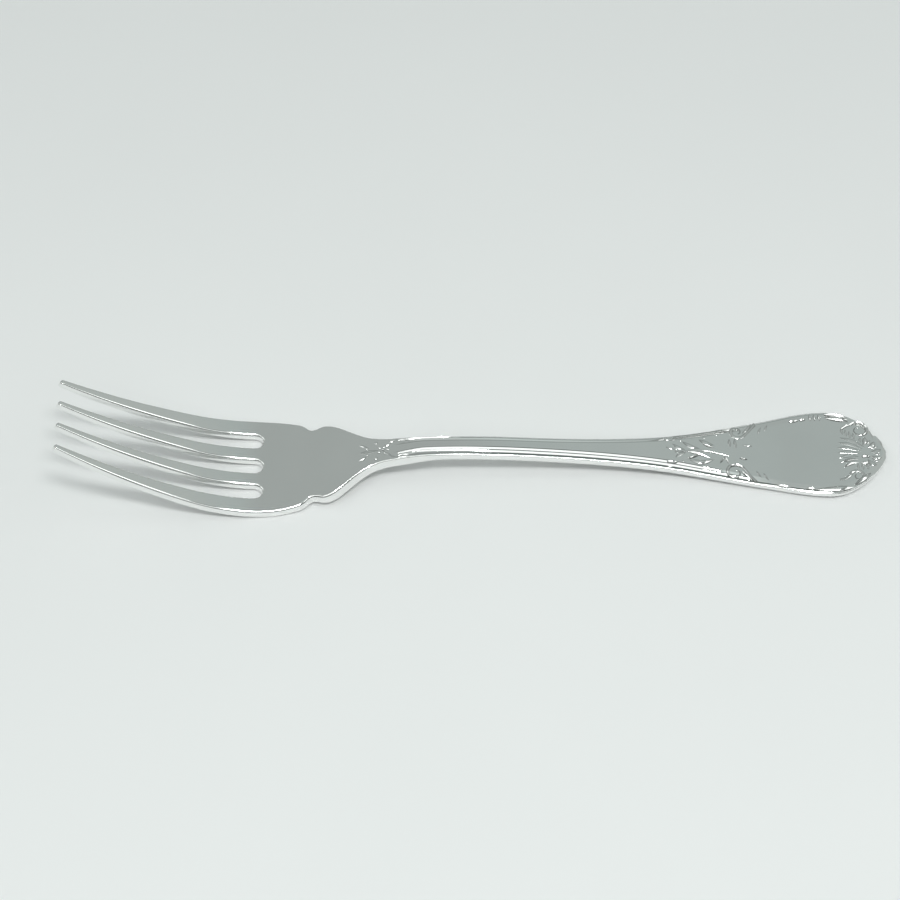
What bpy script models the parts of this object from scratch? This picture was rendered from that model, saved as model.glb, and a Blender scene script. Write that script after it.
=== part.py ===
"""A one-piece fish fork in silver plate, lying on a table with its tines curving up.

Metres, +Z up. +X runs from the tine tips to the handle's end, and Y runs across the fork. Its near side,
at -Y, and its far side differ at the handle's end only, where the outline and the ornament are uneven.
The origin is on the table, under the middle of the fork.

Each piece is first laid out flat, as the maker's blank is: x is the distance along the blank from the
tine tips, called the station, y is the distance from the middle line, and z = 0 is the level of the
upper edges. The flat pieces are then pressed along the fork's side profile.
"""

import math

import bmesh
import bpy
from mathutils import Matrix, Vector

MM = 0.001

# Lengths along the flat blank
TINE_LENGTH = 43.5 * MM  # tips to the roots, where the head is widest
SLOT_RUN = 3.7 * MM  # how far the slots run on into the head
PALM_LENGTH = 14.8 * MM  # roots to the notches
LOBE_SETBACK = 2.4 * MM  # notches to the round lobes behind them
SHOULDER_LENGTH = 18.2 * MM  # notches to the neck
WAIST_SETBACK = 23.5 * MM  # neck to the narrowest place of the stem
STEM_LENGTH = 57.5 * MM  # neck to the foot of the handle
HANDLE_LENGTH = 51.8 * MM  # foot of the handle to its end
HANDLE_ROUND = 13.4 * MM  # the oval end, behind the handle's widest place
CLEFT_SETBACK = 2.4 * MM  # the cleft between the shell and the far scroll, from the handle's end
CLEFT_LENGTH = 0.4 * MM
LEVEL_LENGTH = 30.0 * MM  # foot of the handle to the part of it that lies level
DEEPENING = 6.0 * MM  # the head deepens over this length before the notches and behind them

# Widths
HEAD_WIDTH = 26.1 * MM
NOTCH_WIDTH = 19.2 * MM
LOBE_WIDTH = 20.4 * MM
NECK_WIDTH = 6.1 * MM
STEM_WIDTH = 5.7 * MM
FOOT_WIDTH = 8.7 * MM
HANDLE_WIDTH = 23.5 * MM
CLEFT_DEPTH = 0.9 * MM
END_LEAN = 0.35  # how much narrower than an oval the handle's end becomes
SLOT_WIDTH = 4.3 * MM
INNER_TINE_WIDTH = 2.8 * MM
TIP_WIDTH = 1.2 * MM
TIP_PITCH = 6.05 * MM
TINE_TAPER = 1.4  # how much of a tine's narrowing lies near its tip; 1 is an even taper

# Thicknesses; a depth is measured down from the upper edges, and a crown up from them
TIP_THICKNESS = 1.6 * MM
PALM_THICKNESS = 2.0 * MM
STEM_DEPTH = 2.7 * MM
STEM_CROWN = 0.85 * MM
HANDLE_DEPTH = 2.0 * MM
HANDLE_CROWN = 0.3 * MM
EDGE = 0.25 * MM  # break of the edges

# Rounding of the back, measured in from each edge; between the two roundings the back is flat
PALM_ROUNDING = 0.6 * MM
STEM_ROUNDING = 1.8 * MM
HANDLE_ROUNDING = 1.6 * MM
ROUNDING_STEPS = 5

# Threads, the two rounded ridges along each edge of the stem and handle
THREAD_WIDTH = 0.85 * MM
THREAD_HEIGHT = 0.22 * MM
THREAD_LEAD = 2.0 * MM  # length over which they rise from the neck
CROWN_LEAD = 7.0 * MM  # length over which the field between them rises
THREAD_STEPS = 4

# Side profile: how far its curves reach past the marks of the outline, and the angles they turn
BOWL_AHEAD = 12.4 * MM  # into the tines, from the roots
BOWL_BEHIND = 5.0 * MM  # into the shoulder, from the notches
CREST_BEHIND = 9.4 * MM  # into the stem, from the neck
FALL_LENGTH = 18.0 * MM
TINE_BEND = math.radians(12.0)
BOWL_BEND = math.radians(41.7)
CREST_BEND = math.radians(17.5)
MOST_FALL = math.radians(20.0)

# Struck ornament, standing on the upper face
SEAT_GAP = 0.05 * MM
SHELL_SETBACK = 2.6 * MM  # the point that the shell's rays run from, from the handle's end
SHELL_OFFSET = -2.6 * MM  # and from the middle line
SHELL_INNER = 3.5 * MM  # the rays' two ends, from that point
SHELL_OUTER = 8.3 * MM
SHELL_TURN = math.radians(162.5)  # heading of the middle of the fan
SHELL_SPREAD = math.radians(63.0)
SHELL_RAYS = 6
RAY_WIDTH = 1.6 * MM
SHELL_HEIGHT = 0.7 * MM
CURL_SETBACK = 5.1 * MM  # the boss at the foot of the rays
CURL_OFFSET = -3.0 * MM
CURL_RADIUS = 1.3 * MM
LOBE_RING_SETBACK = 6.0 * MM  # the middle of the ring of lobes around the handle's end
LOBE_RING_OFFSET = -0.6 * MM
LOBE_INNER = 1.2 * MM
LOBE_OUTER = 4.8 * MM
LOBE_TURNS = (-72.0, -48.0, -24.0, 0.0, 24.0, 48.0)
SCROLL_INSET = 0.7 * MM  # a scroll's middle line, from the handle's edge
SCROLL_THICKNESS = 1.2 * MM
SCROLL_TURN = math.radians(450.0)
SCROLL_TAIL = 9.0 * MM
BASE_SCROLL_RADIUS = 1.9 * MM
BASE_SCROLL_SETBACK = 17.8 * MM  # from the foot of the handle
FAR_SCROLL_RADIUS = 2.5 * MM
FAR_SCROLL_SETBACK = 5.6 * MM  # from the handle's end
NEAR_SCROLL_RADIUS = 1.7 * MM
NEAR_SCROLL_SETBACK = 7.3 * MM  # from the handle's end
LEAF_HEIGHT = 0.6 * MM
NECK_LEAF_HEIGHT = 0.4 * MM

# Leaves: root behind the foot of the handle or the neck, root's y, heading in degrees, length and width in mm
SPRAY_LEAVES = [
    (16.6, -0.6, 178.0, 13.0, 0.8),
    (15.6, -0.3, 160.0, 4.9, 1.3),
    (14.6, -0.5, 200.0, 7.0, 1.5),
    (12.3, -1.6, 161.0, 5.1, 1.3),
    (10.4, -0.9, 204.0, 3.6, 1.1),
    (15.6, -0.3, 146.0, 5.4, 1.3),
    (11.0, -0.2, 152.0, 5.2, 1.2),
    (7.6, -0.2, 148.0, 3.9, 1.0),
    (7.6, -0.2, 211.0, 3.4, 1.0),
    (5.2, -0.5, 152.0, 2.8, 1.3),
]
NECK_LEAVES = [
    (-2.2, 0.0, 180.0, 4.9, 1.0),
    (-2.2, 0.3, 161.0, 5.7, 0.9),
    (-2.2, -0.3, 199.0, 5.7, 0.9),
    (-1.6, 0.2, 12.0, 2.9, 0.8),
    (-1.6, -0.2, -12.0, 2.9, 0.8),
]
NECK_PEARL_SETBACK = 1.9 * MM  # before the neck
NECK_PEARL_RADIUS = 0.7 * MM
ROW = 1.0 * MM  # the ornament's faces are cut this often along the blank, so that they follow its bends

# Colours
SILVER = (0.86, 0.86, 0.84)
STRUCK_SILVER = (0.78, 0.78, 0.75)

# Stations of the blank
ROOT = TINE_LENGTH
NOTCH = ROOT + PALM_LENGTH
NECK = NOTCH + SHOULDER_LENGTH
FOOT = NECK + STEM_LENGTH
LEVEL = FOOT + LEVEL_LENGTH
END = FOOT + HANDLE_LENGTH
WIDEST = END - HANDLE_ROUND

BORDER = EDGE + 2.0 * THREAD_WIDTH

# The outline from the tine roots to the handle's widest place: station, half width and slope
OUTLINE = [
    (ROOT, HEAD_WIDTH / 2, 0.0),
    (NOTCH - 4.8 * MM, NOTCH_WIDTH / 2 + 2.5 * MM, -0.27),
    (NOTCH - 1.2 * MM, NOTCH_WIDTH / 2 + 0.65 * MM, -1.15),
    (NOTCH, NOTCH_WIDTH / 2, 0.0),
    (NOTCH + LOBE_SETBACK, LOBE_WIDTH / 2, 0.0),
    (NECK - 9.3 * MM, NECK_WIDTH / 2 + 3.65 * MM, -0.74),
    (NECK - 4.8 * MM, NECK_WIDTH / 2 + 0.95 * MM, -0.38),
    (NECK, NECK_WIDTH / 2, -0.05),
    (NECK + WAIST_SETBACK, STEM_WIDTH / 2, 0.0),
    (FOOT, FOOT_WIDTH / 2, 0.115),
    (WIDEST - 14.4 * MM, HANDLE_WIDTH / 2 - 2.6 * MM, 0.215),
    (WIDEST, HANDLE_WIDTH / 2, 0.0),
]


def ease(station, start, end):
    """0 up to start, 1 from end on, and a smooth step between them."""
    t = min(max((station - start) / (end - start), 0.0), 1.0)
    return t * t * (3.0 - 2.0 * t)


def half_width(station, side):
    """Width of the head, stem or handle from its middle line to its near edge, side -1, or far edge, 1."""
    if station > WIDEST:
        reach = (station - WIDEST) / HANDLE_ROUND
        oval = HANDLE_WIDTH / 2 * math.sqrt(1.0 - reach * reach)
        if side < 0.0:
            return oval * (1.0 - END_LEAN * reach**2)
        cleft = math.exp(-(((station - END + CLEFT_SETBACK) / CLEFT_LENGTH) ** 2))
        return oval * (1.0 - END_LEAN * reach**4) - CLEFT_DEPTH * cleft
    for (start, width, slope), (end, next_width, next_slope) in zip(OUTLINE, OUTLINE[1:]):
        if station <= end:
            break
    length = end - start
    t = (station - start) / length
    turn = slope * length * t * (1.0 - t) ** 2 - next_slope * length * t * t * (1.0 - t)
    return width + (next_width - width) * t * t * (3.0 - 2.0 * t) + turn


def depth(station):
    """Depth of the back of the head, stem or handle."""
    stem = (STEM_DEPTH - PALM_THICKNESS) * ease(station, NOTCH - DEEPENING, NOTCH + DEEPENING)
    handle = (HANDLE_DEPTH - STEM_DEPTH) * ease(station, NECK + WAIST_SETBACK, LEVEL)
    return PALM_THICKNESS + stem + handle


def back_rounding(station):
    """Rounding of the back of the head, stem or handle."""
    stem = (STEM_ROUNDING - PALM_ROUNDING) * ease(station, NOTCH, NECK)
    handle = (HANDLE_ROUNDING - STEM_ROUNDING) * ease(station, FOOT, LEVEL)
    return PALM_ROUNDING + stem + handle


def crown(station):
    """Height of the flat field between the threads."""
    rise = STEM_CROWN * ease(station, NECK, NECK + CROWN_LEAD)
    return rise + (HANDLE_CROWN - STEM_CROWN) * ease(station, FOOT, LEVEL)


def wall(thickness, rounding):
    """The (inset, z) points of a side wall, from below its upper edge round to the flat of the back."""
    points = []
    for step in range(ROUNDING_STEPS + 1):
        angle = math.pi / 2 * step / ROUNDING_STEPS
        inset = rounding * (1.0 - math.cos(angle) ** 0.7)
        points.append((inset, -EDGE - (thickness - EDGE) * math.sin(angle) ** 0.7))
    return points


def back_section(low, high, thickness, rounding):
    """The (y, z) points of both walls and the back, from the edge at y = high to the one at y = low."""
    side = wall(thickness, min(rounding, (high - low) / 2))
    return [(high - inset, z) for inset, z in side] + [(low + inset, z) for inset, z in reversed(side)]


def bar_section(station):
    """The ring of (y, z) points around the head, stem or handle, from its near edge over the top."""
    near = half_width(station, -1.0)
    far = half_width(station, 1.0)
    rise = ease(station, NECK, NECK + THREAD_LEAD)
    inner_end = FOOT + BASE_SCROLL_SETBACK - BASE_SCROLL_RADIUS - SCROLL_THICKNESS / 2
    outer = THREAD_HEIGHT * rise * (1.0 - ease(station, WIDEST, END))
    inner = THREAD_HEIGHT * rise * (1.0 - ease(station, inner_end - 4.0 * MM, inner_end))
    near_shrink = min(1.0, near / (1.2 * BORDER))
    far_shrink = min(1.0, far / (1.2 * BORDER))

    side = []
    for ridge, height in enumerate((outer, inner)):
        for step in range(THREAD_STEPS):
            share = step / THREAD_STEPS
            inset = EDGE + (ridge + share) * THREAD_WIDTH
            level = crown(station) * (inset - EDGE) / (BORDER - EDGE)
            side.append((inset, level + height * math.sin(math.pi * share)))
    side.append((BORDER, crown(station)))

    top = [(-near + inset * near_shrink, z) for inset, z in side]
    top += [(0.0, crown(station))]
    top += [(far - inset * far_shrink, z) for inset, z in reversed(side)]
    return top + back_section(-near, far, depth(station), back_rounding(station))


def tine_section(low, high, thickness):
    """The ring of (y, z) points around a tine from y = low to high."""
    edge = min(EDGE, 0.3 * (high - low))
    return [(low + edge, 0.0), (high - edge, 0.0)] + back_section(low, high, thickness, PALM_ROUNDING)


def spaced(start, end, step):
    """Stations from start to end, evenly spaced and no further apart than step."""
    count = max(1, math.ceil((end - start) / step - 1e-6))
    return [start + (end - start) * i / count for i in range(count + 1)]


def loft(rings):
    """A closed mesh through rings of points, with a flat cap on each end."""
    mesh = bmesh.new()
    rows = [[mesh.verts.new(point) for point in ring] for ring in rings]
    for row, after in zip(rows, rows[1:]):
        for i in range(len(row)):
            mesh.faces.new((row[i - 1], row[i], after[i], after[i - 1]))
    mesh.faces.new(rows[0])
    mesh.faces.new(rows[-1])
    bmesh.ops.recalc_face_normals(mesh, faces=mesh.faces)
    return mesh


def bar(stations):
    """The head, stem or handle through these stations, laid flat."""
    rings = []
    for station in stations:
        rings.append([Vector((station, y, z)) for y, z in bar_section(station)])
    return loft(rings)


def tine_edges():
    """The two edges of each tine at its root, from the -Y side."""
    pitch = SLOT_WIDTH + INNER_TINE_WIDTH
    cuts = [-pitch, 0.0, pitch]
    lows = [-HEAD_WIDTH / 2] + [cut + SLOT_WIDTH / 2 for cut in cuts]
    highs = [cut - SLOT_WIDTH / 2 for cut in cuts] + [HEAD_WIDTH / 2]
    return list(zip(lows, highs)), cuts


def tine(index, low, high):
    """One tine, laid flat: it narrows and thins towards a rounded tip."""
    tip = (index - 1.5) * TIP_PITCH
    tip_radius = TIP_WIDTH / 2
    angles = [math.radians(angle) for angle in (20.0, 40.0, 60.0)]
    stations = [tip_radius * (1.0 - math.cos(angle)) for angle in angles]
    stations += spaced(tip_radius, ROOT, 2.2 * MM)
    rings = []
    for station in stations:
        share = 1.0 - (1.0 - station / ROOT) ** TINE_TAPER
        start = tip - tip_radius + (low - tip + tip_radius) * share
        end = tip + tip_radius + (high - tip - tip_radius) * share
        thickness = PALM_THICKNESS + (TIP_THICKNESS - PALM_THICKNESS) * (1.0 - station / ROOT) ** 2
        blunt = math.sqrt(max(1.0 - max(1.0 - station / tip_radius, 0.0) ** 2, 0.0))
        middle = (start + end) / 2
        half = (end - start) / 2 * blunt
        sunk = (1.0 - blunt) * thickness / 4
        section = tine_section(middle - half, middle + half, thickness - 2.0 * sunk)
        rings.append([Vector((station, y, z - sunk)) for y, z in section])
    return loft(rings)


def slot_cutter(middle):
    """A round-ended slot, whose walls are rounded as the tines' are."""
    flare = 0.5 * MM
    levels = [(flare, SLOT_WIDTH / 2 + EDGE + flare)]
    levels += [(z, SLOT_WIDTH / 2 + inset) for inset, z in wall(PALM_THICKNESS, PALM_ROUNDING)]
    levels += [(-PALM_THICKNESS - flare, SLOT_WIDTH / 2 + PALM_ROUNDING)]
    steps = 16
    centre = ROOT + SLOT_RUN - SLOT_WIDTH / 2
    rings = []
    for z, radius in levels:
        ring = [Vector((ROOT - 2.0 * MM, middle - radius, z))]
        for step in range(steps + 1):
            angle = math.pi * (step / steps - 0.5)
            ring.append(Vector((centre + radius * math.cos(angle), middle + radius * math.sin(angle), z)))
        ring.append(Vector((ROOT - 2.0 * MM, middle + radius, z)))
        rings.append(ring)
    return loft(rings)


def petal(mesh, root, angle, length, width, height):
    """Adds a half-round leaf that lies on z = 0, from its root in the direction of angle."""
    place = Matrix.Translation((root[0], root[1], -0.1 * height)) @ Matrix.Rotation(angle, 4, "Z")
    place = place @ Matrix.Translation((length / 2, 0.0, 0.0))
    place = place @ Matrix.Diagonal((length / 2, width / 2, 1.1 * height, 1.0))
    bmesh.ops.create_uvsphere(mesh, u_segments=12, v_segments=8, radius=1.0, matrix=place)


def pearl(mesh, centre, radius, height):
    """Adds a round boss."""
    petal(mesh, (centre[0] - radius, centre[1]), 0.0, 2.0 * radius, 2.0 * radius, height)


def fan(mesh, focus, headings, inner, outer):
    """Adds rays that run outwards from a point, from one distance to another."""
    for heading in headings:
        root = (focus[0] + inner * math.cos(heading), focus[1] + inner * math.sin(heading))
        petal(mesh, root, heading, outer - inner, RAY_WIDTH, SHELL_HEIGHT)


def shell():
    """The shell at the handle's end: rays towards the stem, a boss at their foot, lobes around the end."""
    mesh = bmesh.new()
    rays = [SHELL_TURN + SHELL_SPREAD * (i / (SHELL_RAYS - 1) - 0.5) for i in range(SHELL_RAYS)]
    fan(mesh, (END - SHELL_SETBACK, SHELL_OFFSET), rays, SHELL_INNER, SHELL_OUTER)
    lobes = [math.radians(turn) for turn in LOBE_TURNS]
    fan(mesh, (END - LOBE_RING_SETBACK, LOBE_RING_OFFSET), lobes, LOBE_INNER, LOBE_OUTER)
    pearl(mesh, (END - CURL_SETBACK, CURL_OFFSET), CURL_RADIUS, 1.4 * SHELL_HEIGHT)
    return mesh


def leaves(mesh, start, table, height):
    """Adds the leaves of a table, whose roots are measured from a station."""
    for x, y, heading, length, width in table:
        root = (start + x * MM, y * MM)
        petal(mesh, root, math.radians(heading), length * MM, width * MM, height)


def leaf_spray():
    """A winding sprig on the handle's foot, its leaves and its bud towards the stem."""
    mesh = bmesh.new()
    leaves(mesh, FOOT, SPRAY_LEAVES, LEAF_HEIGHT)
    return mesh


def neck_leaf():
    """A palmette on the neck: three leaves towards the head, a pearl, and two sprigs towards the stem."""
    mesh = bmesh.new()
    leaves(mesh, NECK, NECK_LEAVES, NECK_LEAF_HEIGHT)
    pearl(mesh, (NECK - NECK_PEARL_SETBACK, 0.0), NECK_PEARL_RADIUS, 1.2 * NECK_LEAF_HEIGHT)
    return mesh


def scroll_line(station, side):
    """Distance of the scrolls' middle line from the fork's."""
    return half_width(station, side) - SCROLL_INSET


def scroll(eye, radius, direction, side):
    """A C-scroll by the handle's edge: a volute around the station of its eye, and a tail along the edge."""
    middle = scroll_line(eye, side) - radius
    path = []
    steps = 30
    for step in range(steps, 0, -1):
        share = step / steps
        angle = math.pi / 2 + direction * SCROLL_TURN * share
        reach = radius * (1.0 - 0.78 * share)
        point = (eye + reach * math.cos(angle), middle + reach * math.sin(angle))
        path.append((point, 1.0 - 0.25 * share))
    for share in spaced(0.0, 1.0, 0.1):
        station = eye + direction * SCROLL_TAIL * share
        path.append(((station, scroll_line(station, side)), 1.0 - 0.6 * share))

    curve = bpy.data.curves.new("scroll_path", "CURVE")
    curve.dimensions = "3D"
    curve.bevel_depth = SCROLL_THICKNESS / 2
    curve.bevel_resolution = 2
    curve.use_fill_caps = True
    spline = curve.splines.new("POLY")
    spline.points.add(len(path) - 1)
    for point, ((x, y), thickness) in zip(spline.points, path):
        point.co = (x, side * y, 0.15 * SCROLL_THICKNESS, 1.0)
        point.radius = thickness
    holder = bpy.data.objects.new("scroll_path", curve)
    mesh = bmesh.new()
    mesh.from_mesh(holder.to_mesh())
    bpy.data.objects.remove(holder)
    bmesh.ops.remove_doubles(mesh, verts=mesh.verts, dist=0.001 * MM)
    bmesh.ops.recalc_face_normals(mesh, faces=mesh.faces)
    pearl(mesh, (eye, side * middle), 0.4 * radius, 0.9 * SCROLL_THICKNESS)
    return mesh


def profile(fall):
    """The runs of the side profile: start station, x, z, heading and curvature of each."""
    lengths_and_bends = [
        (TINE_LENGTH - BOWL_AHEAD, TINE_BEND),
        (BOWL_AHEAD + PALM_LENGTH + BOWL_BEHIND, BOWL_BEND),
        (SHOULDER_LENGTH - BOWL_BEHIND + CREST_BEHIND, -CREST_BEND),
        (FALL_LENGTH, -fall),
        (STEM_LENGTH - CREST_BEHIND - FALL_LENGTH, 0.0),
        (LEVEL_LENGTH, fall),
        (HANDLE_LENGTH - LEVEL_LENGTH, 0.0),
    ]
    station, x, z = 0.0, 0.0, 0.0
    heading = CREST_BEND - TINE_BEND - BOWL_BEND
    runs = []
    for length, bend in lengths_and_bends:
        runs.append((station, x, z, heading, bend / length))
        x, z, heading = follow(runs[-1], length)
        station += length
    return runs


def follow(run, distance):
    """The x, z and heading at a distance along a run, which is an arc or straight."""
    _, x, z, heading, curvature = run
    turned = heading + curvature * distance
    if abs(curvature) < 1e-9:
        return x + distance * math.cos(heading), z + distance * math.sin(heading), heading
    x += (math.sin(turned) - math.sin(heading)) / curvature
    z += (math.cos(heading) - math.cos(turned)) / curvature
    return x, z, turned


def level_profile():
    """The profile whose fall brings the heel and the handle's end down to one plane."""
    low, high = 0.0, MOST_FALL
    for _ in range(50):
        fall = (low + high) / 2
        runs = profile(fall)
        heel = follow(runs[1], -runs[1][3] / runs[1][4])[1] - PALM_THICKNESS
        end = runs[-1][2] - HANDLE_DEPTH
        low, high = (fall, high) if end > heel else (low, fall)
    return runs


def press(mesh, runs):
    """Bends a flat mesh to the side profile."""
    for vert in mesh.verts:
        station, y, height = vert.co
        run = [run for run in runs if run[0] <= station + 1e-9][-1]
        x, z, heading = follow(run, station - run[0])
        vert.co = (x - height * math.sin(heading), y, z + height * math.cos(heading))


def cut(name, mesh, operation, cutters):
    """The flat mesh after a Boolean with each of these cutters."""
    data = bpy.data.meshes.new(name)
    mesh.to_mesh(data)
    mesh.free()
    blank = bpy.data.objects.new(name, data)
    cutter_collection.objects.link(blank)
    for cutter in cutters:
        boolean = blank.modifiers.new(cutter.name, "BOOLEAN")
        boolean.operation = operation
        boolean.solver = "EXACT"
        boolean.use_self = operation == "INTERSECT"
        boolean.object = cutter
    graph = bpy.context.evaluated_depsgraph_get()
    result = bmesh.new()
    result.from_mesh(blank.evaluated_get(graph).to_mesh())
    bpy.data.objects.remove(blank)
    return result


def helper(name, mesh):
    """A cutter, kept out of renders."""
    data = bpy.data.meshes.new(name)
    mesh.to_mesh(data)
    mesh.free()
    cutter = bpy.data.objects.new(name, data)
    cutter_collection.objects.link(cutter)
    cutter.hide_render = True
    cutter.display_type = "WIRE"
    return cutter


def seat(mesh):
    """Sets flat ornament on the field of the upper face, cut in rows that can follow its bends."""
    stations = [vert.co.x for vert in mesh.verts]
    for station in spaced(min(stations), max(stations), ROW)[1:-1]:
        geometry = mesh.verts[:] + mesh.edges[:] + mesh.faces[:]
        plane = (station, 0.0, 0.0)
        bmesh.ops.bisect_plane(mesh, geom=geometry, dist=1e-9, plane_co=plane, plane_no=(1.0, 0.0, 0.0))
    for vert in mesh.verts:
        vert.co.z += crown(vert.co.x) + SEAT_GAP


def add_part(name, mesh, material):
    """Presses a flat mesh and adds it to the fork as a named object."""
    press(mesh, profile_runs)
    data = bpy.data.meshes.new(name)
    mesh.to_mesh(data)
    mesh.free()
    data.materials.append(material)
    data.set_sharp_from_angle(angle=math.radians(40.0))
    part = bpy.data.objects.new(name, data)
    part_collection.objects.link(part)
    part.parent = fork
    return part


def metal(name, colour, roughness):
    material = bpy.data.materials.new(name)
    material.use_nodes = True
    shader = material.node_tree.nodes["Principled BSDF"]
    shader.inputs["Base Color"].default_value = (*colour, 1.0)
    shader.inputs["Metallic"].default_value = 1.0
    shader.inputs["Roughness"].default_value = roughness
    return material


for old in list(bpy.data.objects):
    bpy.data.objects.remove(old)

part_collection = bpy.data.collections.new("fish_fork")
cutter_collection = bpy.data.collections.new("cutters")
bpy.context.scene.collection.children.link(part_collection)
bpy.context.scene.collection.children.link(cutter_collection)
fork = bpy.data.objects.new("fork_frame", None)
part_collection.objects.link(fork)
profile_runs = level_profile()

polished = metal("polished_silver", SILVER, 0.15)
struck = metal("struck_silver", STRUCK_SILVER, 0.25)

# Tines and head
edges, slot_middles = tine_edges()
parts = []
for index, (low, high) in enumerate(edges):
    parts.append(add_part(f"tine_{index + 1}", tine(index, low, high), polished))
slot_cutters = [helper(f"slot_{i + 1}", slot_cutter(middle)) for i, middle in enumerate(slot_middles)]
head_stations = spaced(ROOT, NOTCH - 4.8 * MM, 2.5 * MM)
head_stations += spaced(NOTCH - 4.8 * MM, NOTCH + 4.8 * MM, 0.6 * MM)[1:]
head_stations += spaced(NOTCH + 4.8 * MM, NECK, 1.2 * MM)[1:]
parts.append(add_part("head", cut("head", bar(head_stations), "DIFFERENCE", slot_cutters), polished))

# Stem and handle
stem_stations = spaced(NECK, NECK + CROWN_LEAD, 0.8 * MM) + spaced(NECK + CROWN_LEAD, FOOT, 2.6 * MM)[1:]
parts.append(add_part("stem", bar(stem_stations), polished))
handle_stations = spaced(FOOT, LEVEL, 2.0 * MM) + spaced(LEVEL, WIDEST, 2.7 * MM)[1:]
for step in range(1, 16):
    handle_stations.append(WIDEST + HANDLE_ROUND * math.sin(math.radians(86.5) * step / 15))
cleft = END - CLEFT_SETBACK
handle_stations = [station for station in handle_stations if abs(station - cleft) > 1.5 * CLEFT_LENGTH]
handle_stations += spaced(cleft - 1.5 * CLEFT_LENGTH, cleft + 1.5 * CLEFT_LENGTH, CLEFT_LENGTH / 2)
parts.append(add_part("handle", bar(sorted(handle_stations)), polished))

# Ornament, trimmed flat on the plane it stands on
above = bmesh.new()
bmesh.ops.create_cube(above, size=1.0)
bmesh.ops.scale(above, verts=above.verts, vec=(2.0 * END, HEAD_WIDTH, 10.0 * MM))
bmesh.ops.translate(above, verts=above.verts, vec=(0.0, 0.0, 5.0 * MM))
above_seat = helper("above_seat", above)
ornament = {"shell": shell(), "leaf_spray": leaf_spray(), "neck_leaf": neck_leaf()}
base_eye = FOOT + BASE_SCROLL_SETBACK
ornament["scroll_base_near"] = scroll(base_eye, BASE_SCROLL_RADIUS, 1.0, -1.0)
ornament["scroll_base_far"] = scroll(base_eye, BASE_SCROLL_RADIUS, 1.0, 1.0)
ornament["scroll_end_near"] = scroll(END - NEAR_SCROLL_SETBACK, NEAR_SCROLL_RADIUS, -1.0, -1.0)
ornament["scroll_end_far"] = scroll(END - FAR_SCROLL_SETBACK, FAR_SCROLL_RADIUS, -1.0, 1.0)
for name, mesh in ornament.items():
    trimmed = cut(name, mesh, "INTERSECT", [above_seat])
    seat(trimmed)
    parts.append(add_part(name, trimmed, struck))

# The fork is moved so that the origin is on the table under its middle
corners = [vert.co for part in parts for vert in part.data.vertices]
left = min(corner.x for corner in corners)
right = max(corner.x for corner in corners)
bottom = min(corner.z for corner in corners)
fork.location = (-(left + right) / 2, 0.0, -bottom)
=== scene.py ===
"""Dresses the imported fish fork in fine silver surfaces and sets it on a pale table, as photographed.

The scene is in metres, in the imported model's frame. The fork's surfaces are laid out on its flat blank, in
millimetres: the station along the blank from the tine tips, the distance across it, and the height over its
upper edges. press() bends the blank to the fork's side profile and brings it into the frame.
"""

import math

import bmesh
import bpy
import numpy as np
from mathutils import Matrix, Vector


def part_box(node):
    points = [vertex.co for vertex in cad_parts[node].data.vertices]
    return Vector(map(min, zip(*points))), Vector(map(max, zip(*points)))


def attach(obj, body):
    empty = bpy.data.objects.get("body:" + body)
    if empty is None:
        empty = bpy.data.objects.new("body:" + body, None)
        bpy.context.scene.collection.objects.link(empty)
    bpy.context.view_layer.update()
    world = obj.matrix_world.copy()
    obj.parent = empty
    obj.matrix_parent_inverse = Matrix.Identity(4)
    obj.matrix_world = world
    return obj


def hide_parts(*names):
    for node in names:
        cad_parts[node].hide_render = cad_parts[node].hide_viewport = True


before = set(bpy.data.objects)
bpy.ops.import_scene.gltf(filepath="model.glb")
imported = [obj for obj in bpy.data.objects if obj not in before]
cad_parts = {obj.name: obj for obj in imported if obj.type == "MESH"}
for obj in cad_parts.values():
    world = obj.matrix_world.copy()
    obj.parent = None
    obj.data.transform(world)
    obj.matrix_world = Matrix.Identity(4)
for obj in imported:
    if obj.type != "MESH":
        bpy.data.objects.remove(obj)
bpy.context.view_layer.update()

# Lengths along the blank, in millimetres
TINE_LENGTH = 43.5
SLOT_RUN = 3.7  # how far the slots run into the palm, past the tine roots
PALM_LENGTH = 14.8
CORNER_SETBACK = 4.8  # the palm's edge turns in to the notch from here
LOBE_SETBACK = 2.4  # the widest place of the lobe behind the notch
SHOULDER_LENGTH = 18.2
WAIST_SETBACK = 23.5  # the stem's narrowest place, from the neck
STEM_LENGTH = 57.5
HANDLE_LENGTH = 51.8
HANDLE_ROUND = 13.4  # the oval end, from the handle's widest place
CLEFT_SETBACK = 2.4  # the small cleft in the far side of the end
CLEFT_LENGTH = 0.4
LEVEL_LENGTH = 30.0  # the handle's first stretch, which bends until it lies level
DEEPENING = 6.0  # the back deepens from this far before the notch to as far behind it

# Widths
HEAD_WIDTH = 26.1
NOTCH_WIDTH = 19.2
LOBE_WIDTH = 20.4
NECK_WIDTH = 6.1
STEM_WIDTH = 5.7
FOOT_WIDTH = 8.7
HANDLE_WIDTH = 23.5
CLEFT_DEPTH = 0.9
END_LEAN = 0.35  # share by which the oval end narrows towards its tip
SLOT_WIDTH = 3.6  # as in the photograph, narrower than in the solids
INNER_TINE_WIDTH = 3.5
TIP_WIDTH = 1.2
TIP_PITCH = 6.05
TINE_TAPER = 1.4  # power by which the tines narrow to their tips

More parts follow.
